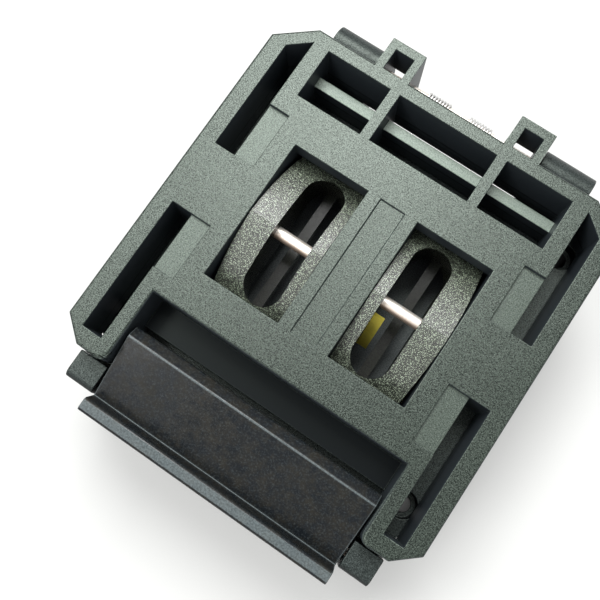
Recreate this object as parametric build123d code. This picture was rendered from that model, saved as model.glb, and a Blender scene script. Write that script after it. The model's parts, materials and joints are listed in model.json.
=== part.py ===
# Clamshell test socket for a flat square chip with leads on four sides.
# Millimetres. +Z up, +Y towards the hinge, origin on the mounting plane below the package centre.
import os
from math import cos, radians, sin

from build123d import *

# Package that the socket holds
body_size = 28.0
lead_reach = 1.0
lead_pitch = 0.4
lead_corner = 1.4

# Overall heights
total_height = 22.0
lid_thickness = 8.5
lid_gap = 0.5

# Clearances
running_clearance = 0.05
slide_clearance = 0.1
side_clearance = 0.3
package_clearance = 0.1

# Lid outline
lid_margin = 7.5
lid_front = 25.1
lid_rear = 24.15
rear_chamfer_x = 4.8
rear_chamfer_y = 3.8
front_chamfer_x = 3.0
front_chamfer_y = 2.6
top_edge_round = 0.35

# Front notch of the lid and the ledge that the latch hooks over
arm_width = 7.0
notch_rear = 14.9
ledge_reach = 4.0
ledge_height = 2.5

# Windows over the pushers
window_inner = 3.53
window_outer = 14.21
window_half_length = 9.74
window_lip = 2.8
window_undercut = 1.16

# Long slots down both sides of the lid and the shallow pads beside them
slot_wall = 2.4
slot_width = 2.7
slot_start = 4.5
front_slot_wall = 2.2
rear_slot_wall = 4.15
rear_slot_slant = 2.2
pad_width = 2.9
pad_end = 12.4
pad_depth = 0.6

# Three pockets behind the windows and the rib that crosses them
pocket_wall = 1.91
pocket_length = 6.96
pocket_split = 7.02
pocket_web = 1.4
pocket_side_wall = 7.35
rib_setback = 3.34
rib_width = 1.5
rib_drop = 4.0

# Plain recessed panel between the windows
panel_half_width = 1.73
panel_half_length = 9.77
panel_depth = 0.3

# Hinge at the rear
hinge_setback = 2.35
hinge_drop = 6.0
hinge_pin_radius = 0.5
hinge_ear_radius = 2.2
hinge_ear_gap = 0.25
hinge_ear_inset = 5.7
hinge_ear_straight = 3.0
hinge_ear_foot = 3.0
hinge_ear_root = 1.0
loop_inner = 6.96
loop_width = 4.88
loop_reach = 4.19
loop_wall_x = 1.1
loop_wall_y = 1.24
loop_root = 0.5
loop_bar_height = 4.85
loop_cheek_height = 9.5

# Spring on the hinge pin
spring_wire_radius = 0.15
spring_pitch = 0.42
spring_turns = 8
spring_gap_half = 1.5
spring_leg_drop = 5.5
spring_leg_hold = 1.5

# Latch lever at the front
latch_pivot_setback = 2.2
latch_pivot_drop = 8.0
latch_pin_radius = 0.8
latch_pin_end_inset = 0.4
latch_hub_radius = 1.9
latch_wall = 1.6
latch_ridge_y = -20.8
latch_ridge_drop = 1.0
latch_nose_y = -19.45
latch_nose_drop = 3.6
latch_plate_end_y = -29.2
latch_plate_end_drop = 4.1
latch_lip_y = -31.4
latch_lip_width = 1.7
latch_lip_drop = 1.5
latch_edge_round = 0.45
latch_web_width = 4.5
latch_spring_turns = 6

# Front ears of the base
front_ear_width = 4.0
front_ear_gap = 0.4
front_ear_reach = 1.9
front_ear_top_drop = 3.2
front_ear_round = 1.1
front_shelf_drop = 4.0

# Base body
base_inset = 1.5
base_front = 24.0
base_rear = 22.0
base_corner = 2.0
well_ledge_height = 3.0
well_ledge_width = 1.6
mount_inset_x = 2.3
mount_inset_y = 3.0
mount_hole_radius = 1.1
mount_head_radius = 1.75
mount_head_depth = 2.0

# Contacts and their carrier
seating_drop = 4.5
seat_floor = 1.5
contact_width = 0.2
contact_stock = 0.3
contact_stem_margin = 0.05
contact_slot_margin = 0.3
contact_tip_reach = 0.7
contact_tip_length = 0.4
contact_bend_drop = 1.2

# Nest that locates the package
nest_height = 2.5
nest_wall = 1.8
nest_contact_gap = 0.35
nest_post_overlap = 0.3
nest_post_gap = 1.1
nest_lead_in = 0.5
nest_screw_inset = 0.95
nest_screw_radius = 0.5
nest_screw_head_radius = 0.75
nest_screw_head_height = 0.5
nest_screw_length = 4.0

# Ground contact under the middle of the package
ground_size = 7.0
ground_share = 0.6
ground_travel = 0.5
ground_chamfer = 0.4
ground_stem_radius = 0.8
ground_floor = 1.0
ground_spring_radius = 2.2
ground_spring_wire = 0.2
ground_spring_pitch = 0.62

# Frame under the lid that presses the leads
press_plate_inset = 0.7
press_plate_thickness = 1.5
press_bar_overlap = 0.65
press_bar_width = 0.9
press_bar_margin = 0.15
press_bar_gap = 0.6
press_screw_inset = 0.8
press_screw_radius = 0.5
press_screw_head_radius = 0.8
press_screw_head_height = 0.6
press_screw_length = 4.0

# Pushers in the windows
pusher_side_clearance = 0.12
pusher_end_clearance = 0.5
pusher_top_drop = 0.4
pusher_arch_radius = 22.0
pusher_ridge_angle = 6.0
pusher_crown_radius = 85.0
pusher_foot_drop = 1.1
pusher_inner_rail = 1.6
pusher_outer_rail = 3.64
pusher_slot_half_length = 9.2
pusher_web_width = 1.4
pusher_web_height = 1.1
pusher_web_centre = 0.3
pusher_pin_drop = 3.3
pusher_pin_radius = 0.8
pusher_pin_seat = 1.1
leaf_width = 1.4
leaf_thickness = 0.2
leaf_start = -1.5
leaf_end = -5.6
leaf_start_drop = 4.4
leaf_end_drop = 7.2

# Sizes that follow the package
lead_span = body_size + 2 * lead_reach
leads_per_side = round((body_size - 2 * lead_corner) / lead_pitch) + 1
row_half = (leads_per_side - 1) * lead_pitch / 2
contact_stem_inner = lead_span / 2 + contact_stem_margin
contact_stem_outer = contact_stem_inner + contact_stock
nest_opening_half = contact_stem_outer + nest_contact_gap
nest_post_inner = body_size / 2 - nest_post_overlap
carrier_half = nest_opening_half + nest_wall
nest_screw_offset = carrier_half - nest_screw_inset
well_half = carrier_half + slide_clearance
well_floor_half = well_half - well_ledge_width
press_plate_half_y = carrier_half - press_plate_inset
press_bar_inner = lead_span / 2 - press_bar_overlap
press_bar_half_length = row_half + press_bar_margin
press_screw_offset = press_bar_inner - press_screw_inset

# Places across the width
lid_half = carrier_half + lid_margin
slot_outer = lid_half - slot_wall
slot_inner = slot_outer - slot_width
pad_inner = slot_inner - pad_width
notch_half_width = lid_half - arm_width
press_plate_half_x = notch_half_width - slide_clearance
pocket_outer = lid_half - pocket_side_wall
loop_outer = loop_inner + loop_width
hinge_ear_inner = loop_outer + hinge_ear_gap
hinge_ear_outer = lid_half - hinge_ear_inset
latch_half_width = notch_half_width - side_clearance
front_ear_inner = notch_half_width
front_ear_outer = front_ear_inner + front_ear_width
base_half_width = lid_half - base_inset
mount_x = base_half_width - mount_inset_x

# Places along the length
front_slot_end = lid_front - front_slot_wall
rear_slot_end = lid_rear - rear_slot_wall
pocket_rear = lid_rear - pocket_wall
pocket_front = pocket_rear - pocket_length
rib_front = pocket_rear - rib_setback
hinge_y = lid_rear + hinge_setback
loop_rear = lid_rear + loop_reach
ledge_front = -(notch_rear + ledge_reach)
latch_pivot_y = -(lid_front + latch_pivot_setback)
front_ear_rear = -(lid_front + front_ear_gap)
front_ear_front = latch_pivot_y - front_ear_reach
mount_y = base_rear - mount_inset_y
cavity_half_length = window_half_length + window_undercut

# Heights
lid_bottom = total_height - lid_thickness
base_height = lid_bottom - lid_gap
hinge_z = total_height - hinge_drop
ledge_top = lid_bottom + ledge_height
latch_pivot_z = total_height - latch_pivot_drop
seating_height = lid_bottom - seating_drop
carrier_height = seating_height - seat_floor
nest_top = carrier_height + nest_height
nest_post_height = lid_bottom - nest_post_gap
ground_height = ground_share * (seating_height - ground_floor)
ground_bottom = seating_height + ground_travel / 2 - ground_height
cavity_top = total_height - window_lip
pusher_foot_height = lid_bottom - pusher_foot_drop
pusher_pin_z = total_height - pusher_pin_drop
press_bar_bottom = seating_height + press_bar_gap

# Sizes of the pushers and springs
pusher_inner = window_inner + pusher_side_clearance
pusher_outer = window_outer - pusher_side_clearance
pusher_slot_inner = pusher_inner + pusher_inner_rail
pusher_slot_outer = pusher_outer - pusher_outer_rail
pusher_half_length = cavity_half_length - pusher_end_clearance
hinge_coil_radius = hinge_pin_radius + slide_clearance + spring_wire_radius
latch_coil_radius = latch_pin_radius + slide_clearance + spring_wire_radius
hinge_coil_end = spring_gap_half + spring_pitch * spring_turns
latch_spring_centre = (latch_half_width - latch_web_width / 2) / 2
spring_leg_z = base_height - spring_leg_drop


def block(x0, x1, y0, y1, z0, z1):
    corner = Pos(min(x0, x1), min(y0, y1), min(z0, z1))
    size = Box(abs(x1 - x0), abs(y1 - y0), abs(z1 - z0), align=(Align.MIN, Align.MIN, Align.MIN))
    return corner * size


def rod(x0, x1, y, z, radius):
    turned = Pos(min(x0, x1), y, z) * Rot(0, 90, 0)
    return turned * Cylinder(radius, abs(x1 - x0), align=(Align.CENTER, Align.CENTER, Align.MIN))


def post(x, y, z0, z1, radius):
    return Pos(x, y, z0) * Cylinder(radius, z1 - z0, align=(Align.CENTER, Align.CENTER, Align.MIN))


def side_profile(points, x0, x1):
    """Extrudes an outline given as (y, z) points from x0 to x1."""
    face = make_face(Plane.YZ * Polyline(*points, close=True))
    return Pos(min(x0, x1), 0, 0) * extrude(face, abs(x1 - x0), dir=(1, 0, 0))


def plan_profile(points, z0, z1):
    """Extrudes an outline given as (x, y) points from z0 to z1."""
    face = make_face(Polyline(*points, close=True))
    return Pos(0, 0, z0) * extrude(face, z1 - z0, dir=(0, 0, 1))


def both_sides(shape):
    return shape + mirror(shape, Plane.YZ)


def four_corners(offset_x, offset_y):
    return [(sx * offset_x, sy * offset_y) for sx in (-1, 1) for sy in (-1, 1)]


def coil(x_start, y, z, mean_radius, wire_radius, pitch, turns):
    """A close coil about an axis along X that starts at x_start."""
    path = Helix(pitch, pitch * turns, mean_radius)
    section = Plane(path @ 0, z_dir=path % 0) * Circle(wire_radius)
    wire = sweep(section, path=path, is_frenet=True)
    return Pos(x_start, y, z) * Rot(0, 90, 0) * wire


# Lid cover
def lid_outline():
    right = [
        (0, -lid_front),
        (lid_half - front_chamfer_x, -lid_front),
        (lid_half, -lid_front + front_chamfer_y),
        (lid_half, lid_rear - rear_chamfer_y),
        (lid_half - rear_chamfer_x, lid_rear),
        (0, lid_rear),
    ]
    slab = plan_profile(right, lid_bottom, total_height)
    return both_sides(slab)


def lid_slots():
    front = block(slot_inner, slot_outer, -front_slot_end, -slot_start, lid_bottom, total_height)
    rear_points = [
        (slot_inner, slot_start),
        (slot_outer, slot_start),
        (slot_outer, rear_slot_end),
        (slot_inner, rear_slot_end + rear_slot_slant),
    ]
    rear = plan_profile(rear_points, lid_bottom, total_height)
    pad_floor = total_height - pad_depth
    front_pad = block(pad_inner, slot_inner, -pad_end, -slot_start, pad_floor, total_height)
    rear_pad = block(pad_inner, slot_inner, slot_start, pad_end, pad_floor, total_height)
    return front + rear + front_pad + rear_pad


def lid_window():
    top = block(window_inner, window_outer, -window_half_length, window_half_length, lid_bottom, total_height)
    below = block(window_inner, window_outer, -cavity_half_length, cavity_half_length, lid_bottom, cavity_top)
    seats = rod(
        window_inner - pusher_pin_seat,
        window_outer + pusher_pin_seat,
        0,
        pusher_pin_z,
        pusher_pin_radius,
    )
    return top + below + seats


def lid_pockets():
    middle = block(-pocket_split, pocket_split, pocket_front, pocket_rear, lid_bottom, total_height)
    side = block(pocket_split + pocket_web, pocket_outer, pocket_front, pocket_rear, lid_bottom, total_height)
    return middle + both_sides(side)


def lid_rib():
    rib_top = total_height - rib_drop
    return block(-pocket_outer, pocket_outer, rib_front, rib_front + rib_width, lid_bottom, rib_top)


def lid_loop():
    bar_bottom = total_height - loop_bar_height
    cheek_bottom = total_height - loop_cheek_height
    bar = block(loop_inner, loop_outer, lid_rear - loop_root, loop_rear, bar_bottom, total_height)
    cheeks = block(loop_inner, loop_outer, lid_rear, loop_rear, cheek_bottom, total_height)
    hollow = block(
        loop_inner + loop_wall_x,
        loop_outer - loop_wall_x,
        lid_rear,
        loop_rear,
        cheek_bottom,
        total_height,
    )
    hole = block(
        loop_inner + loop_wall_x,
        loop_outer - loop_wall_x,
        lid_rear,
        loop_rear - loop_wall_y,
        cheek_bottom,
        total_height,
    )
    bore = rod(loop_inner, loop_outer, hinge_y, hinge_z, hinge_pin_radius + running_clearance)
    return (cheeks - hollow) + (bar - hole) - bore


def lid_cover():
    body = lid_outline()
    notch = block(-notch_half_width, notch_half_width, -lid_front, -notch_rear, ledge_top, total_height)
    gap = block(-notch_half_width, notch_half_width, -lid_front, ledge_front, lid_bottom, total_height)
    body -= notch
    body -= gap
    rims = body.faces().sort_by(Axis.Z)[-1].outer_wire().edges()
    body = fillet(rims, top_edge_round)
    body -= both_sides(lid_slots())
    body -= both_sides(lid_window())
    body -= lid_pockets()
    body += lid_rib()
    panel_floor = total_height - panel_depth
    body -= block(
        -panel_half_width,
        panel_half_width,
        -panel_half_length,
        panel_half_length,
        panel_floor,
        total_height,
    )
    recess_half_x = press_plate_half_x + slide_clearance
    recess_half_y = press_plate_half_y + slide_clearance
    recess_top = lid_bottom + press_plate_thickness
    body -= block(-recess_half_x, recess_half_x, -recess_half_y, recess_half_y, lid_bottom, recess_top)
    for x, y in four_corners(press_screw_offset, press_screw_offset):
        hole_top = lid_bottom + press_screw_head_height + press_screw_length
        body -= post(x, y, lid_bottom, hole_top, press_screw_radius)
    body += both_sides(lid_loop())
    return body


# Frame that presses the leads
def lead_press_frame():
    top = lid_bottom + press_plate_thickness
    plate = block(
        -press_plate_half_x,
        press_plate_half_x,
        -press_plate_half_y,
        press_plate_half_y,
        lid_bottom,
        top,
    )
    opening = block(window_inner, window_outer, -cavity_half_length, cavity_half_length, lid_bottom, top)
    plate -= both_sides(opening)
    bar = block(
        -press_bar_half_length,
        press_bar_half_length,
        press_bar_inner,
        press_bar_inner + press_bar_width,
        press_bar_bottom,
        lid_bottom,
    )
    for turn in range(4):
        plate += Rot(0, 0, 90 * turn) * bar
    for x, y in four_corners(press_screw_offset, press_screw_offset):
        plate -= post(x, y, lid_bottom, top, press_screw_radius)
        plate -= post(x, y, lid_bottom, lid_bottom + press_screw_head_height, press_screw_head_radius)
    return plate


def press_frame_screws():
    screws = []
    for x, y in four_corners(press_screw_offset, press_screw_offset):
        head_top = lid_bottom + press_screw_head_height
        head = post(x, y, lid_bottom, head_top, press_screw_head_radius)
        shank = post(x, y, head_top, head_top + press_screw_length, press_screw_radius)
        screws.append(head + shank)
    return Compound(children=screws)


# Pushers
def pusher_block():
    """Roof of two shallow arcs that meet in a ridge over the pin, with its outer side crowned."""
    ridge_z = total_height - pusher_top_drop
    shift = pusher_arch_radius * sin(radians(pusher_ridge_angle))
    centre_z = ridge_z - pusher_arch_radius * cos(radians(pusher_ridge_angle))
    rear_arc = rod(pusher_inner, pusher_outer, -shift, centre_z, pusher_arch_radius)
    front_arc = rod(pusher_inner, pusher_outer, shift, centre_z, pusher_arch_radius)
    limits = block(
        pusher_inner,
        pusher_outer,
        -pusher_half_length,
        pusher_half_length,
        pusher_foot_height,
        total_height,
    )
    crown = post(pusher_outer - pusher_crown_radius, 0, pusher_foot_height, total_height, pusher_crown_radius)
    return rear_arc & front_arc & limits & crown


def pusher_web():
    """Low web along the floor of the slot."""
    centre = (pusher_slot_inner + pusher_slot_outer) / 2 + pusher_web_centre
    return block(
        centre - pusher_web_width / 2,
        centre + pusher_web_width / 2,
        -pusher_slot_half_length,
        pusher_slot_half_length,
        pusher_foot_height,
        pusher_foot_height + pusher_web_height,
    )


def pusher():
    body = pusher_block()
    slot_width_x = pusher_slot_outer - pusher_slot_inner
    slot_face = SlotOverall(2 * pusher_slot_half_length, slot_width_x, rotation=90)
    slot_height = total_height - pusher_foot_height
    slot_centre = (pusher_slot_inner + pusher_slot_outer) / 2
    body -= Pos(slot_centre, 0, pusher_foot_height) * extrude(slot_face, slot_height)
    body += pusher_web()
    body -= rod(pusher_inner, pusher_outer, 0, pusher_pin_z, pusher_pin_radius + running_clearance)
    return body


def pusher_pin():
    return rod(
        window_inner - pusher_pin_seat,
        window_outer + pusher_pin_seat,
        0,
        pusher_pin_z,
        pusher_pin_radius,
    )


def pusher_leaf():
    start_z = total_height - leaf_start_drop
    end_z = total_height - leaf_end_drop
    points = [
        (leaf_start, start_z),
        (leaf_end, end_z),
        (leaf_end, end_z - leaf_thickness),
        (leaf_start, start_z - leaf_thickness),
    ]
    return side_profile(points, pusher_slot_inner, pusher_slot_inner + leaf_width)


# Base body
def base_outline():
    points = [
        (0, -base_front),
        (base_half_width - base_corner, -base_front),
        (base_half_width, -base_front + base_corner),
        (base_half_width, base_rear - base_corner),
        (base_half_width - base_corner, base_rear),
        (0, base_rear),
    ]
    return both_sides(plan_profile(points, 0, base_height))


def hinge_ear():
    ear_front = hinge_y - hinge_ear_radius
    ear_rear = hinge_y + hinge_ear_radius
    root = base_rear - hinge_ear_root
    points = [
        (ear_front, hinge_z),
        (ear_rear, hinge_z),
        (ear_rear, hinge_z - hinge_ear_straight),
        (base_rear, hinge_ear_foot),
        (root, hinge_ear_foot),
        (root, base_height),
        (ear_front, base_height),
    ]
    upright = side_profile(points, hinge_ear_inner, hinge_ear_outer)
    barrel = rod(hinge_ear_inner, hinge_ear_outer, hinge_y, hinge_z, hinge_ear_radius)
    bore = rod(hinge_ear_inner, hinge_ear_outer, hinge_y, hinge_z, hinge_pin_radius)
    return upright + barrel - bore


def front_ear():
    top = total_height - front_ear_top_drop
    ear = block(front_ear_inner, front_ear_outer, front_ear_front, front_ear_rear, 0, top)
    front_edge = ear.edges().filter_by(Axis.X).group_by(Axis.Z)[-1].sort_by(Axis.Y)[0]
    ear = fillet(front_edge, front_ear_round)
    foot = block(front_ear_inner, front_ear_outer, front_ear_front, -base_front, 0, base_height)
    bore_end = front_ear_outer - latch_pin_end_inset
    bore = rod(front_ear_inner, bore_end, latch_pivot_y, latch_pivot_z, latch_pin_radius)
    return ear + foot - bore


def spring_leg_hole():
    leg_y = base_rear - spring_leg_hold
    hole = Pos(hinge_coil_end, leg_y, spring_leg_z) * Rot(-90, 0, 0)
    return hole * Cylinder(spring_wire_radius, spring_leg_hold, align=(Align.CENTER, Align.CENTER, Align.MIN))


def base_body():
    body = base_outline()
    shelf_top = base_height - front_shelf_drop
    body += block(-front_ear_inner, front_ear_inner, front_ear_front, -base_front, 0, shelf_top)
    body += both_sides(hinge_ear())
    body += both_sides(front_ear())
    body -= both_sides(spring_leg_hole())
    body -= block(-well_half, well_half, -well_half, well_half, well_ledge_height, base_height)
    body -= block(-well_floor_half, well_floor_half, -well_floor_half, well_floor_half, 0, well_ledge_height)
    for x, y in four_corners(mount_x, mount_y):
        body -= post(x, y, 0, base_height, mount_hole_radius)
        body -= post(x, y, base_height - mount_head_depth, base_height, mount_head_radius)
    for x, y in four_corners(nest_screw_offset, nest_screw_offset):
        body -= post(x, y, nest_top - nest_screw_length, base_height, nest_screw_radius)
    return body


# Contact carrier, contacts and nest
def contact_slot():
    half = row_half + contact_width / 2 + contact_slot_margin
    inner = contact_stem_inner - running_clearance
    outer = contact_stem_outer + running_clearance
    return block(-half, half, inner, outer, 0, carrier_height)


def contact_carrier():
    lower_half = well_floor_half - slide_clearance
    lower = block(-lower_half, lower_half, -lower_half, lower_half, 0, well_ledge_height)
    upper = block(-carrier_half, carrier_half, -carrier_half, carrier_half, well_ledge_height, carrier_height)
    body = lower + upper
    for turn in range(4):
        body -= Rot(0, 0, 90 * turn) * contact_slot()
    pocket_half = ground_size / 2 + slide_clearance
    body -= block(-pocket_half, pocket_half, -pocket_half, pocket_half, ground_floor, carrier_height)
    body -= post(0, 0, 0, ground_floor, ground_stem_radius + slide_clearance)
    for x, y in four_corners(nest_screw_offset, nest_screw_offset):
        body -= post(x, y, well_ledge_height, carrier_height, nest_screw_radius)
    return body


def contact(offset):
    """One formed contact of the rear row, at a place along the row."""
    tip_inner = contact_stem_inner - contact_tip_reach
    points = [
        (contact_stem_inner, 0),
        (contact_stem_outer, 0),
        (contact_stem_outer, seating_height - contact_bend_drop),
        (tip_inner + contact_tip_length, seating_height),
        (tip_inner, seating_height),
        (tip_inner, seating_height - contact_stock),
        (contact_stem_inner, seating_height - contact_bend_drop - contact_stock),
    ]
    return side_profile(points, offset - contact_width / 2, offset + contact_width / 2)


def contact_row(turn):
    row = [Rot(0, 0, turn) * contact(index * lead_pitch - row_half) for index in range(leads_per_side)]
    return Compound(children=row)


def nest_frame():
    frame = block(-carrier_half, carrier_half, -carrier_half, carrier_half, carrier_height, nest_top)
    corner = block(nest_post_inner, carrier_half, nest_post_inner, carrier_half, carrier_height, nest_post_height)
    opening = nest_opening_half
    frame -= block(-opening, opening, -opening, opening, carrier_height, nest_top)
    for turn in range(4):
        frame += Rot(0, 0, 90 * turn) * corner
    seat = body_size / 2 + package_clearance
    frame -= block(-seat, seat, -seat, seat, carrier_height, nest_post_height)
    lead_in_base = nest_post_height - nest_lead_in
    wide = 2 * (seat + nest_lead_in)
    throat = Pos(0, 0, lead_in_base) * Rectangle(2 * seat, 2 * seat)
    rim = Pos(0, 0, nest_post_height) * Rectangle(wide, wide)
    frame -= loft([throat, rim])
    for x, y in four_corners(nest_screw_offset, nest_screw_offset):
        frame -= post(x, y, carrier_height, nest_post_height, nest_screw_radius)
        frame -= post(x, y, nest_top, nest_post_height, nest_screw_head_radius)
    return frame


def nest_screws():
    screws = []
    for x, y in four_corners(nest_screw_offset, nest_screw_offset):
        shank = post(x, y, nest_top - nest_screw_length, nest_top, nest_screw_radius)
        head = post(x, y, nest_top, nest_top + nest_screw_head_height, nest_screw_head_radius)
        screws.append(shank + head)
    return Compound(children=screws)


# Ground contact
def ground_contact():
    half = ground_size / 2
    top = ground_bottom + ground_height
    slug = block(-half, half, -half, half, ground_bottom, top)
    slug = chamfer(slug.faces().sort_by(Axis.Z)[-1].edges(), ground_chamfer)
    stem = post(0, 0, ground_travel, ground_bottom, ground_stem_radius)
    return slug + stem


def ground_spring():
    free_height = ground_bottom - ground_travel - ground_floor - slide_clearance
    rise = free_height - 2 * ground_spring_wire
    turns = max(1, round(rise / ground_spring_pitch))
    path = Helix(rise / turns, rise, ground_spring_radius)
    section = Plane(path @ 0, z_dir=path % 0) * Circle(ground_spring_wire)
    wire = sweep(section, path=path, is_frenet=True)
    return Pos(0, 0, ground_floor + ground_spring_wire) * wire


# Hinge pin and its spring
def hinge_pin():
    return rod(-hinge_ear_outer, hinge_ear_outer, hinge_y, hinge_z, hinge_pin_radius)


def spring_leg():
    """Wire leg that drops from the outer end of the right coil and hooks into the base's rear wall."""
    top = hinge_z - hinge_coil_radius - spring_wire_radius
    drop = post(hinge_coil_end, hinge_y, spring_leg_z, top, spring_wire_radius)
    corner = Pos(hinge_coil_end, hinge_y, spring_leg_z) * Sphere(spring_wire_radius)
    hook_end = base_rear - spring_leg_hold
    hook = Pos(hinge_coil_end, hook_end, spring_leg_z) * Rot(-90, 0, 0)
    hook_length = hinge_y - hook_end
    bottom_align = (Align.CENTER, Align.CENTER, Align.MIN)
    return drop + corner + hook * Cylinder(spring_wire_radius, hook_length, align=bottom_align)


def hinge_spring():
    right = coil(
        spring_gap_half,
        hinge_y,
        hinge_z,
        hinge_coil_radius,
        spring_wire_radius,
        spring_pitch,
        spring_turns,
    )
    leg = spring_leg()
    return Compound(children=[right, mirror(right, Plane.YZ), leg, mirror(leg, Plane.YZ)])


# Latch
def latch_point(y, drop):
    return (y, total_height - drop)


def latch_shell():
    """The plate with its hook at the inner end and its finger lip at the outer end."""
    lip_inner = latch_lip_y + latch_lip_width
    points = [
        latch_point(latch_ridge_y, latch_ridge_drop),
        latch_point(latch_nose_y, latch_nose_drop - latch_wall),
        latch_point(latch_nose_y, latch_nose_drop),
        latch_point(latch_ridge_y, latch_nose_drop),
        latch_point(latch_plate_end_y, latch_plate_end_drop + latch_wall),
        latch_point(latch_lip_y, latch_plate_end_drop),
        latch_point(latch_lip_y, latch_lip_drop),
        latch_point(lip_inner, latch_lip_drop),
        latch_point(latch_plate_end_y, latch_plate_end_drop),
    ]
    shell = side_profile(points, -latch_half_width, latch_half_width)
    long_edges = shell.edges().filter_by(Axis.X)
    tops = [edge for edge in long_edges if edge.center().Z > total_height - latch_nose_drop + latch_wall / 2]
    return fillet(tops, latch_edge_round)


def latch_web(x0, x1):
    hub = rod(x0, x1, latch_pivot_y, latch_pivot_z, latch_hub_radius)
    points = [
        (latch_pivot_y - latch_hub_radius, latch_pivot_z),
        (latch_pivot_y + latch_hub_radius, latch_pivot_z),
        latch_point(latch_ridge_y, latch_nose_drop),
        latch_point(latch_plate_end_y, latch_plate_end_drop + latch_wall / 2),
    ]
    return hub + side_profile(points, x0, x1)


def latch_lever():
    body = latch_shell()
    body += both_sides(latch_web(latch_half_width - latch_web_width, latch_half_width))
    body += latch_web(-latch_web_width / 2, latch_web_width / 2)
    bore_radius = latch_pin_radius + running_clearance
    body -= rod(-latch_half_width, latch_half_width, latch_pivot_y, latch_pivot_z, bore_radius)
    return body


def latch_pin():
    half = front_ear_outer - latch_pin_end_inset
    return rod(-half, half, latch_pivot_y, latch_pivot_z, latch_pin_radius)


def latch_spring(side):
    """Coil on the latch pin, with a leg that stands on the base's front shelf."""
    length = spring_pitch * latch_spring_turns
    start = side * latch_spring_centre - length / 2
    wound = coil(
        start,
        latch_pivot_y,
        latch_pivot_z,
        latch_coil_radius,
        spring_wire_radius,
        spring_pitch,
        latch_spring_turns,
    )
    leg_top = latch_pivot_z - latch_coil_radius - spring_wire_radius
    leg = post(start, latch_pivot_y, base_height - front_shelf_drop, leg_top, spring_wire_radius)
    return Compound(children=[wound, leg])


def build():
    right_pusher = pusher()
    right_pin = pusher_pin()
    return {
        "base_body": base_body(),
        "contact_carrier": contact_carrier(),
        "contacts_rear": contact_row(0),
        "contacts_left": contact_row(90),
        "contacts_front": contact_row(180),
        "contacts_right": contact_row(270),
        "nest_frame": nest_frame(),
        "nest_screws": nest_screws(),
        "ground_contact": ground_contact(),
        "ground_spring": ground_spring(),
        "hinge_pin": hinge_pin(),
        "hinge_spring": hinge_spring(),
        "latch_lever": latch_lever(),
        "latch_pin": latch_pin(),
        "latch_spring_left": latch_spring(-1),
        "latch_spring_right": latch_spring(1),
        "lid_cover": lid_cover(),
        "lead_press_frame": lead_press_frame(),
        "press_frame_screws": press_frame_screws(),
        "pusher_right": right_pusher,
        "pusher_left": mirror(right_pusher, Plane.YZ),
        "pusher_pin_right": right_pin,
        "pusher_pin_left": mirror(right_pin, Plane.YZ),
        "pusher_leaf": pusher_leaf(),
    }


os.makedirs("parts", exist_ok=True)
for node, shape in build().items():
    export_step(shape, f"parts/{node}.step")
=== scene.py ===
import json
import math

import bmesh
import bpy
from mathutils import Matrix, Vector


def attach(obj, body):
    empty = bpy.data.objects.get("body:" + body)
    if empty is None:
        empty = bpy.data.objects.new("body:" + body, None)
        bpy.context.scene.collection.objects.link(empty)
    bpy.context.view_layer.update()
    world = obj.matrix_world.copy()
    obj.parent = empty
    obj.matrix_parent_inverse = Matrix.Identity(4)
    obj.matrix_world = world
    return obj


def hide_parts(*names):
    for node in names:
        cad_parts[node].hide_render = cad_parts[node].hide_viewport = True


MM = 0.001
IMAGE_SIZE = 600

# Top faces that lie below the lid's top: its shallow pads and its rib, which get a painted highlight, and the
# latch's ledge, which gets a painted shadow
PAD_LEVEL = 21.4 * MM
RIB_LEVEL = 18.0 * MM
LEDGE_LEVEL = 16.0 * MM
LEVEL_TOLERANCE = 0.15 * MM

# Inner front corners of the lid's arms
ARM_INNER_X = 18.0 * MM
LID_FRONT_Y = -25.1 * MM
ARM_CORNER_RADIUS = 0.9 * MM
ARM_CORNER_SEGMENTS = 6
MITRE_REACH = 0.4 * MM

# Roundings of the moulded edges
EDGE_WIDTHS = {
    "lid_cover": 0.10 * MM,
    "base_body": 0.12 * MM,
    "latch_lever": 0.08 * MM,
}
EDGE_SEGMENTS = 2
EDGE_ANGLE = 32
FLAT_ANGLE = 0.5
SAME_POINT = 1e-6
FACE_AREA_WEIGHT = 100

# Scales of the noise textures, per metre
MOULD_GRAIN = 6400.0
MOULD_SPECKLE = 9500.0
MOULD_DRIFT = 95.0
LATCH_FINE = 4200.0
LATCH_MOTTLE = 620.0
LATCH_SMUDGE = 110.0
PUSHER_FINE = 5200.0
PUSHER_GLINT_NOISE = 8200.0
METAL_LINES = 2500.0
METAL_PATCHES = 420.0

# Heights of the bumps and widths of the bands along the edges that show wear, on the latch with a painted
# highlight too
MOULD_RELIEF = 0.025 * MM
LATCH_RELIEF = 0.03 * MM
PUSHER_RELIEF = 0.06 * MM
METAL_RELIEF = 0.01 * MM
MOULD_WORN_BAND = 0.22 * MM
LATCH_WEAR_AND_HIGHLIGHT_BAND = 0.3 * MM

# Pushers get no painted glints and less specular below the first height, so they look plain and dark there,
# and show their painted glints fully above the second
PUSHER_DARK_LEVEL = 14.0 * MM
PUSHER_GLINT_LEVEL = 15.5 * MM

# Painted shadow: deep black painted on the ledge where shade falls
PAINTED_SHADOW_BLACK = (0.003, 0.004, 0.006)
GREENISH_SHEEN = (0.88, 1.0, 0.90, 1.0)

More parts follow.
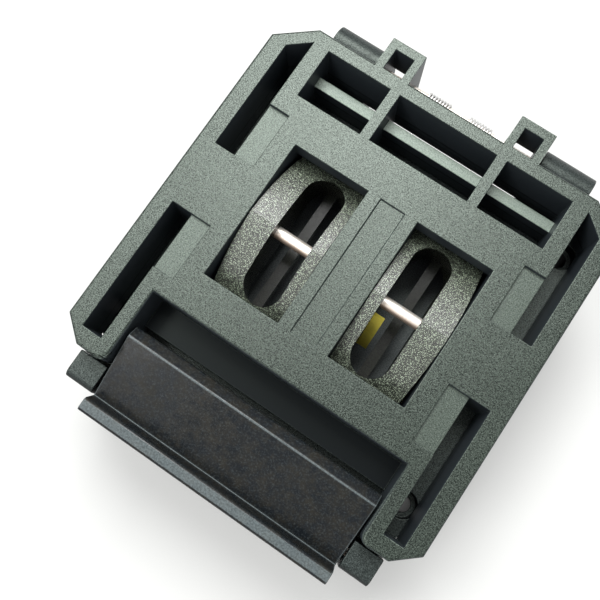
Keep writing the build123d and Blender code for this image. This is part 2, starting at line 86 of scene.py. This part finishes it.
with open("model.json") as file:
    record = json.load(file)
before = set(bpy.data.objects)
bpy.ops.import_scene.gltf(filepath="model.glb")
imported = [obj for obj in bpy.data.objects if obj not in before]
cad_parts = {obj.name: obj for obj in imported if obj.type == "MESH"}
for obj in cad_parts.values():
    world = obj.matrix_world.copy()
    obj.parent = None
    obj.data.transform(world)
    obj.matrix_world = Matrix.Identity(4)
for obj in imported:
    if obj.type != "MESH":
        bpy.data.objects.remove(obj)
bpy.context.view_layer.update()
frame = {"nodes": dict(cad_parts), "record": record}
scene = bpy.context.scene
nodes = frame["nodes"]
body_of = {node: body for body, members in frame["record"]["behaviour"]["bodies"].items() for node in members}
slot_of = {entry["node"]: entry["material_slot"] for entry in frame["record"]["subparts"]}


# Small helpers for shader trees
def new_material(name):
    material = bpy.data.materials.new(name)
    material.use_nodes = True
    tree = material.node_tree
    shader = next(node for node in tree.nodes if node.type == "BSDF_PRINCIPLED")
    return material, tree, shader


def add_node(tree, kind, **settings):
    node = tree.nodes.new(kind)
    for key, value in settings.items():
        setattr(node, key, value)
    return node


def object_coordinates(tree, scale=(1, 1, 1)):
    coords = add_node(tree, "ShaderNodeTexCoord")
    mapping = add_node(tree, "ShaderNodeMapping")
    mapping.inputs["Scale"].default_value = scale
    tree.links.new(coords.outputs["Object"], mapping.inputs["Vector"])
    return mapping.outputs["Vector"]


def noise(tree, vector, scale, detail=2.0, roughness=0.5):
    texture = add_node(tree, "ShaderNodeTexNoise")
    texture.inputs["Scale"].default_value = scale
    texture.inputs["Detail"].default_value = detail
    texture.inputs["Roughness"].default_value = roughness
    tree.links.new(vector, texture.inputs["Vector"])
    return texture.outputs["Fac"]


def remap(tree, value, low, high, out_low=0.0, out_high=1.0):
    node = add_node(tree, "ShaderNodeMapRange")
    node.inputs["From Min"].default_value = low
    node.inputs["From Max"].default_value = high
    node.inputs["To Min"].default_value = out_low
    node.inputs["To Max"].default_value = out_high
    tree.links.new(value, node.inputs["Value"])
    return node.outputs["Result"]


def math_node(tree, operation, *values):
    node = add_node(tree, "ShaderNodeMath", operation=operation)
    for socket, value in zip(node.inputs, values):
        if isinstance(value, (int, float)):
            socket.default_value = value
        else:
            tree.links.new(value, socket)
    return node.outputs["Value"]


def mix_colors(tree, factor, first, second):
    node = add_node(tree, "ShaderNodeMix", data_type="RGBA")
    if isinstance(factor, (int, float)):
        node.inputs["Factor"].default_value = factor
    else:
        tree.links.new(factor, node.inputs["Factor"])
    for socket, value in ((node.inputs[6], first), (node.inputs[7], second)):
        if isinstance(value, tuple):
            socket.default_value = (*value, 1.0)
        else:
            tree.links.new(value, socket)
    return node.outputs[2]


def bump(tree, height, strength, distance):
    node = add_node(tree, "ShaderNodeBump")
    node.inputs["Strength"].default_value = strength
    node.inputs["Distance"].default_value = distance
    tree.links.new(height, node.inputs["Height"])
    return node.outputs["Normal"]


def edge_mask(tree, radius, samples=6, flat=0.995, sharp=0.90):
    """1 on edges and 0 on flat faces, from how far a rounded normal leans away."""
    rounded = add_node(tree, "ShaderNodeBevel", samples=samples)
    rounded.inputs["Radius"].default_value = radius
    surface = add_node(tree, "ShaderNodeNewGeometry")
    dot = add_node(tree, "ShaderNodeVectorMath", operation="DOT_PRODUCT")
    tree.links.new(rounded.outputs["Normal"], dot.inputs[0])
    tree.links.new(surface.outputs["Normal"], dot.inputs[1])
    return remap(tree, dot.outputs["Value"], flat, sharp)


def own_normal(tree, axis):
    """One part of the face's normal in the piece's own frame."""
    surface = add_node(tree, "ShaderNodeNewGeometry")
    turned = add_node(tree, "ShaderNodeVectorTransform", vector_type="NORMAL")
    turned.convert_from = "WORLD"
    turned.convert_to = "OBJECT"
    split = add_node(tree, "ShaderNodeSeparateXYZ")
    tree.links.new(surface.outputs["True Normal"], turned.inputs["Vector"])
    tree.links.new(turned.outputs["Vector"], split.inputs["Vector"])
    return split.outputs[axis]


def upward(tree, low=0.55, high=0.85):
    """1 on faces that look up in the piece's own frame, 0 on its walls and underside."""
    return remap(tree, own_normal(tree, "Z"), low, high)


def own_height(tree):
    """Height above the piece's own origin."""
    coords = add_node(tree, "ShaderNodeTexCoord")
    split = add_node(tree, "ShaderNodeSeparateXYZ")
    tree.links.new(coords.outputs["Object"], split.inputs["Vector"])
    return split.outputs["Z"]


def level(tree, height):
    """1 on faces that lie at a height in the piece's own frame."""
    return math_node(tree, "COMPARE", own_height(tree), height, LEVEL_TOLERANCE)


# Materials
def moulded_plastic(name, wall, top, pale, wear_and_highlight, rough_top, rough_wall, specular, bright=(), painted_shadow_level=None):
    """Black glass-filled moulding: spark-eroded grain on its top faces, plain drawn walls without grain, wear
    along its edges.

    Faces at the bright levels get a painted highlight, paler by the amount given, and faces at the painted
    shadow level get a painted shadow of deep black.
    """
    material, tree, shader = new_material(name)
    vector = object_coordinates(tree)
    grain = noise(tree, vector, MOULD_GRAIN, 2.0, 0.65)
    speckle = noise(tree, vector, MOULD_SPECKLE, 1.0, 0.5)
    drift = noise(tree, vector, MOULD_DRIFT, 3.0, 0.55)
    facing = upward(tree)
    if painted_shadow_level is not None:
        outside_painted_shadow = math_node(tree, "SUBTRACT", 1.0, level(tree, painted_shadow_level))
        facing = math_node(tree, "MULTIPLY", facing, outside_painted_shadow)
    textured = mix_colors(tree, remap(tree, grain, 0.42, 0.60), top, pale)
    textured = mix_colors(tree, remap(tree, speckle, 0.56, 0.70, 0.0, 0.8), textured, wear_and_highlight)
    textured = mix_colors(tree, remap(tree, drift, 0.35, 0.7, 0.0, 0.30), textured, top)
    # painted highlight: the pad and rib levels are paled toward the wear-and-highlight colour in place of the
    # light they catch
    for height, amount in bright:
        painted_highlight = math_node(tree, "MULTIPLY", level(tree, height), amount)
        textured = mix_colors(tree, painted_highlight, textured, wear_and_highlight)
    tone = mix_colors(tree, facing, wall, textured)
    # painted shadow: faces at the ledge level are painted deep black in place of their shade
    if painted_shadow_level is not None:
        tone = mix_colors(tree, outside_painted_shadow, PAINTED_SHADOW_BLACK, tone)
    patchy = remap(tree, grain, 0.40, 0.6, 0.1, 0.55)
    edges = math_node(tree, "MULTIPLY", edge_mask(tree, MOULD_WORN_BAND), patchy)
    tone = mix_colors(tree, edges, tone, wear_and_highlight)
    tree.links.new(tone, shader.inputs["Base Color"])
    gloss = remap(tree, grain, 0.3, 0.7, rough_top - 0.07, rough_top + 0.07)
    gloss_mix = add_node(tree, "ShaderNodeMix", data_type="FLOAT")
    tree.links.new(facing, gloss_mix.inputs["Factor"])
    gloss_mix.inputs[2].default_value = rough_wall
    tree.links.new(gloss, gloss_mix.inputs[3])
    tree.links.new(gloss_mix.outputs[0], shader.inputs["Roughness"])
    relief = math_node(tree, "MULTIPLY", grain, remap(tree, facing, 0.0, 1.0, 0.12, 1.0))
    tree.links.new(bump(tree, relief, 1.0, MOULD_RELIEF), shader.inputs["Normal"])
    sheen = math_node(tree, "MULTIPLY", facing, remap(tree, grain, 0.40, 0.62, 0.25 * specular, specular))
    tree.links.new(math_node(tree, "ADD", sheen, 0.2 * specular), shader.inputs["Specular IOR Level"])
    shader.inputs["Specular Tint"].default_value = GREENISH_SHEEN
    return material


def handled_plastic(name, dark, brown, wear_and_highlight, roughness, specular):
    """Smooth black moulding with brownish mottling, finger smudges, and ridges and edges that are rubbed and
    carry a painted highlight.
    """
    material, tree, shader = new_material(name)
    vector = object_coordinates(tree)
    fine = noise(tree, vector, LATCH_FINE, 3.0, 0.7)
    mottle = noise(tree, vector, LATCH_MOTTLE, 6.0, 0.72)
    smudge = noise(tree, vector, LATCH_SMUDGE, 3.0, 0.55)
    tone = mix_colors(tree, remap(tree, mottle, 0.40, 0.64), dark, brown)
    tone = mix_colors(tree, remap(tree, fine, 0.50, 0.72, 0.0, 0.16), tone, wear_and_highlight)
    patchy = remap(tree, fine, 0.3, 0.7, 0.25, 0.75)
    # painted highlight: up-facing crests and the edges are lightened toward the bluish wear-and-highlight
    # colour, partly as rubbed wear and partly as painted highlight
    crest_wear_and_highlight = math_node(tree, "MULTIPLY", upward(tree, 0.955, 0.985), patchy)
    tone = mix_colors(tree, crest_wear_and_highlight, tone, wear_and_highlight)
    edges = math_node(tree, "MULTIPLY", edge_mask(tree, LATCH_WEAR_AND_HIGHLIGHT_BAND), 0.6)
    tone = mix_colors(tree, edges, tone, wear_and_highlight)
    tree.links.new(tone, shader.inputs["Base Color"])
    fingered = remap(tree, smudge, 0.35, 0.65, -0.08, 0.10)
    uneven = remap(tree, mottle, 0.38, 0.66, -0.06, 0.12)
    gloss = math_node(tree, "ADD", fingered, uneven)
    tree.links.new(math_node(tree, "ADD", gloss, roughness), shader.inputs["Roughness"])
    tree.links.new(bump(tree, mottle, 0.35, LATCH_RELIEF), shader.inputs["Normal"])
    shader.inputs["Specular IOR Level"].default_value = specular
    return material


def sparkling_plastic(name, dark, light, painted_glint, roughness, specular):
    """Semi-gloss moulding with painted glints, pale spots on its upward curved faces where its glass fibres
    would sparkle, plain and dark low in its slot.
    """
    material, tree, shader = new_material(name)
    vector = object_coordinates(tree)
    fine = noise(tree, vector, PUSHER_FINE, 2.0, 0.7)
    glint_noise = noise(tree, vector, PUSHER_GLINT_NOISE, 1.0, 0.5)
    high = remap(tree, own_height(tree), PUSHER_DARK_LEVEL, PUSHER_GLINT_LEVEL)
    facing = math_node(tree, "MULTIPLY", upward(tree, 0.35, 0.75), high)
    tone = mix_colors(tree, remap(tree, fine, 0.42, 0.60), dark, light)
    # painted glints: pale spots on upward faces high in the slot stand in for sparkle
    shown = math_node(tree, "MULTIPLY", remap(tree, glint_noise, 0.53, 0.62), facing)
    tone = mix_colors(tree, shown, tone, painted_glint)
    tree.links.new(tone, shader.inputs["Base Color"])
    gloss = remap(tree, glint_noise, 0.3, 0.7, roughness + 0.1, roughness - 0.1)
    tree.links.new(gloss, shader.inputs["Roughness"])
    relief = math_node(tree, "MULTIPLY", fine, remap(tree, facing, 0.0, 1.0, 0.1, 1.0))
    tree.links.new(bump(tree, relief, 1.0, PUSHER_RELIEF), shader.inputs["Normal"])
    sheen = remap(tree, facing, 0.0, 1.0, 0.2 * specular, specular)
    tree.links.new(sheen, shader.inputs["Specular IOR Level"])
    return material


def turned_metal(name, color, tarnish_and_shade, roughness, stretch, metallic=1.0, shaded_side=0.0):
    """Metal with fine lines across its length, slightly tarnished patches and, on a pin, a painted brown
    reflection of its dark surroundings on its front side.
    """
    material, tree, shader = new_material(name)
    lines = noise(tree, object_coordinates(tree, stretch), METAL_LINES, 3.0, 0.7)
    patches = noise(tree, object_coordinates(tree), METAL_PATCHES, 3.0, 0.6)
    tone = mix_colors(tree, remap(tree, patches, 0.4, 0.7, 0.0, 0.55), color, tarnish_and_shade)
    tone = mix_colors(tree, remap(tree, lines, 0.5, 0.7, 0.0, 0.5), tone, tarnish_and_shade)
    if shaded_side:
        # painted reflection: the front side is mixed toward the pin's brown colour in place of the dark
        # surroundings it reflects
        front = remap(tree, own_normal(tree, "Y"), -0.25, -0.75, 0.0, shaded_side)
        tone = mix_colors(tree, front, tone, tarnish_and_shade)
    tree.links.new(tone, shader.inputs["Base Color"])
    tree.links.new(remap(tree, lines, 0.3, 0.7, roughness, roughness + 0.16), shader.inputs["Roughness"])
    tree.links.new(bump(tree, lines, 0.2, METAL_RELIEF), shader.inputs["Normal"])
    shader.inputs["Metallic"].default_value = metallic
    return material


MATERIALS = {
    "lid_plastic": moulded_plastic(
        "lid_black",
        wall=(0.030, 0.037, 0.043),
        top=(0.003, 0.005, 0.004),
        pale=(0.018, 0.026, 0.020),
        wear_and_highlight=(0.12, 0.15, 0.125),
        rough_top=0.30,
        rough_wall=0.36,
        specular=0.58,
        # painted highlight on the pads and the rib, painted shadow on the ledge
        bright=((PAD_LEVEL, 0.25), (RIB_LEVEL, 0.9)),
        painted_shadow_level=LEDGE_LEVEL,
    ),
    "base_plastic": moulded_plastic(
        "base_black",
        wall=(0.008, 0.010, 0.011),
        top=(0.010, 0.013, 0.013),
        pale=(0.020, 0.026, 0.026),
        wear_and_highlight=(0.07, 0.085, 0.083),
        rough_top=0.32,
        rough_wall=0.30,
        specular=0.4,
    ),
    "carrier_plastic": moulded_plastic(
        "carrier_black",
        wall=(0.030, 0.034, 0.040),
        top=(0.034, 0.038, 0.044),
        pale=(0.065, 0.072, 0.082),
        wear_and_highlight=(0.12, 0.13, 0.14),
        rough_top=0.42,
        rough_wall=0.38,
        specular=0.5,
    ),
    "latch_plastic": handled_plastic(
        "latch_black",
        dark=(0.006, 0.008, 0.010),
        brown=(0.014, 0.013, 0.010),
        # bluish-green colour of wear and highlight; its tint is a painted reflection of the floor
        wear_and_highlight=(0.15, 0.18, 0.185),
        roughness=0.28,
        specular=0.18,
    ),
    "pusher_plastic": sparkling_plastic(
        "pusher_black",
        dark=(0.005, 0.005, 0.004),
        light=(0.016, 0.019, 0.013),
        painted_glint=(0.27, 0.32, 0.24),
        roughness=0.27,
        specular=0.6,
    ),
    "pin_steel": turned_metal(
        "pin_steel",
        color=(0.90, 0.88, 0.82),
        tarnish_and_shade=(0.56, 0.42, 0.31),
        roughness=0.30,
        stretch=(1.0, 0.05, 0.05),
        metallic=0.7,
        # painted brown reflection on the pin's front side
        shaded_side=0.8,
    ),
    "spring_steel": turned_metal(
        "spring_wire",
        color=(0.66, 0.66, 0.66),
        tarnish_and_shade=(0.42, 0.38, 0.34),
        roughness=0.25,
        stretch=(1.0, 1.0, 1.0),
    ),
    "screw_steel": turned_metal(
        "screw_steel",
        color=(0.55, 0.55, 0.56),
        tarnish_and_shade=(0.35, 0.33, 0.30),
        roughness=0.30,
        stretch=(1.0, 1.0, 0.1),
    ),
    "contact_metal": turned_metal(
        "contact_gold",
        color=(0.85, 0.62, 0.28),
        tarnish_and_shade=(0.62, 0.42, 0.18),
        roughness=0.22,
        stretch=(1.0, 1.0, 0.1),
    ),
    "leaf_brass": turned_metal(
        "leaf_brass",
        color=(0.72, 0.62, 0.10),
        tarnish_and_shade=(0.40, 0.32, 0.06),
        roughness=0.30,
        stretch=(0.1, 1.0, 0.1),
    ),
}


# Copies of the moulded solids with rounded edges
def round_arm_corners(work):
    """Rounds the upright edges at the inner front corners of the lid's arms, with their mitred ends."""
    work.edges.ensure_lookup_table()
    corners = []
    for edge in work.edges:
        ends = [(abs(vert.co.x) - ARM_INNER_X, vert.co.y - LID_FRONT_Y) for vert in edge.verts]
        inside = all(-SAME_POINT < across < MITRE_REACH for across, _ in ends)
        mitred = all(abs(across - along) < 2 * SAME_POINT for across, along in ends)
        if inside and mitred:
            corners.append(edge)
    bmesh.ops.bevel(
        work,
        geom=corners,
        offset=ARM_CORNER_RADIUS,
        segments=ARM_CORNER_SEGMENTS,
        profile=0.5,
        affect="EDGES",
        clamp_overlap=False,
    )


def merged_mesh(node):
    """Copy of a solid's mesh with its flat faces whole again, so that only true edges are rounded."""
    mesh = nodes[node].data.copy()
    work = bmesh.new()
    work.from_mesh(mesh)
    bmesh.ops.remove_doubles(work, verts=work.verts, dist=SAME_POINT)
    bmesh.ops.dissolve_limit(
        work, angle_limit=math.radians(FLAT_ANGLE), verts=work.verts, edges=work.edges, delimit={"NORMAL"}
    )
    if node == "lid_cover":
        round_arm_corners(work)
    work.to_mesh(mesh)
    work.free()
    mesh.polygons.foreach_set("use_smooth", [True] * len(mesh.polygons))
    return mesh


def add_rounded_piece(node, edge_width):
    mesh = merged_mesh(node)
    mesh.materials.clear()
    mesh.materials.append(MATERIALS[slot_of[node]])
    piece = bpy.data.objects.new(f"{node}_shell", mesh)
    scene.collection.objects.link(piece)
    rounding = piece.modifiers.new("edges", "BEVEL")
    rounding.width = edge_width
    rounding.segments = EDGE_SEGMENTS
    rounding.limit_method = "ANGLE"
    rounding.angle_limit = math.radians(EDGE_ANGLE)
    rounding.use_clamp_overlap = False
    normals = piece.modifiers.new("normals", "WEIGHTED_NORMAL")
    normals.mode = "FACE_AREA"
    normals.weight = FACE_AREA_WEIGHT
    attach(piece, body_of[node])
    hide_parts(node)


def finish_frame_nodes(skipped):
    for name, node in nodes.items():
        if name in skipped:
            continue
        node.data.materials.clear()
        node.data.materials.append(MATERIALS[slot_of[name]])


# Camera at the photograph's place
CAMERA_PLACE = Vector((7.76, -18.16, 113.66)) * MM
CAMERA_RIGHT = Vector((0.8278, 0.5606, -0.0218))
CAMERA_UP = Vector((-0.5492, 0.8177, 0.1723))
FOCAL_PIXELS = 784.9
SENSOR_WIDTH = 36.0
CLIP_START = 0.005


def add_camera():
    data = bpy.data.cameras.new("camera")
    data.sensor_width = SENSOR_WIDTH
    data.lens = FOCAL_PIXELS / IMAGE_SIZE * SENSOR_WIDTH
    data.clip_start = CLIP_START
    camera = bpy.data.objects.new("camera", data)
    right = CAMERA_RIGHT.normalized()
    back = right.cross(CAMERA_UP).normalized()
    up = back.cross(right).normalized()
    turn = Matrix((right, up, back)).transposed().to_4x4()
    camera.matrix_world = Matrix.Translation(CAMERA_PLACE) @ turn
    scene.collection.objects.link(camera)
    scene.camera = camera


# Floor and light
FLOOR_HALF = 0.6
FLOOR_COLOR = (0.44, 0.445, 0.435, 1.0)
FLOOR_ROUGHNESS = 0.9
FLOOR_GLOW_COLOR = (1.0, 1.0, 0.99, 1.0)
FLOOR_GLOW = 0.30
WHITE = (1.0, 1.0, 1.0, 1.0)
SHOWN_STRENGTH = 1.0
AMBIENT_STRENGTH = 0.55
LIGHT_TARGET = Vector((0, 0, 0.02))

# Name, place, diameter and power of each light, in metres and watts
LIGHTS = [
    ("key", (-0.088, 0.178, 0.385), 0.24, 2.1),
    ("left", (-0.185, -0.010, 0.385), 0.12, 0.45),
    ("front", (-0.150, -0.260, 0.385), 0.16, 0.5),
]


def background_ray(tree):
    """1 where the camera, a gloss or a clear piece looks at the background itself."""
    path = add_node(tree, "ShaderNodeLightPath")
    either = math_node(tree, "MAXIMUM", path.outputs["Is Camera Ray"], path.outputs["Is Glossy Ray"])
    return math_node(tree, "MAXIMUM", either, path.outputs["Is Transmission Ray"])


def add_floor():
    mesh = bpy.data.meshes.new("floor")
    corners = [(x * FLOOR_HALF, y * FLOOR_HALF, 0) for x, y in ((-1, -1), (1, -1), (1, 1), (-1, 1))]
    mesh.from_pydata(corners, [], [(0, 1, 2, 3)])
    floor = bpy.data.objects.new("floor", mesh)
    scene.collection.objects.link(floor)
    material, _, shader = new_material("floor_paper")
    shader.inputs["Base Color"].default_value = FLOOR_COLOR
    shader.inputs["Roughness"].default_value = FLOOR_ROUGHNESS
    shader.inputs["Emission Color"].default_value = FLOOR_GLOW_COLOR
    shader.inputs["Emission Strength"].default_value = FLOOR_GLOW
    mesh.materials.append(material)


def add_world():
    world = bpy.data.worlds.new("studio")
    scene.world = world
    world.use_nodes = True
    tree = world.node_tree
    background = next(node for node in tree.nodes if node.type == "BACKGROUND")
    background.inputs["Color"].default_value = WHITE
    strength = add_node(tree, "ShaderNodeMapRange")
    tree.links.new(background_ray(tree), strength.inputs["Value"])
    strength.inputs["To Min"].default_value = AMBIENT_STRENGTH
    strength.inputs["To Max"].default_value = SHOWN_STRENGTH
    tree.links.new(strength.outputs["Result"], background.inputs["Strength"])


def add_area_light(name, place, diameter, power):
    data = bpy.data.lights.new(name, "AREA")
    data.shape = "DISK"
    data.size = diameter
    data.energy = power
    lamp = bpy.data.objects.new(name, data)
    lamp.location = place
    lamp.rotation_euler = (LIGHT_TARGET - Vector(place)).to_track_quat("-Z", "Y").to_euler()
    scene.collection.objects.link(lamp)


for moulding, width in EDGE_WIDTHS.items():
    add_rounded_piece(moulding, width)
finish_frame_nodes(EDGE_WIDTHS)
add_camera()
add_floor()
add_world()
for light in LIGHTS:
    add_area_light(*light)
scene.view_settings.view_transform = "Standard"
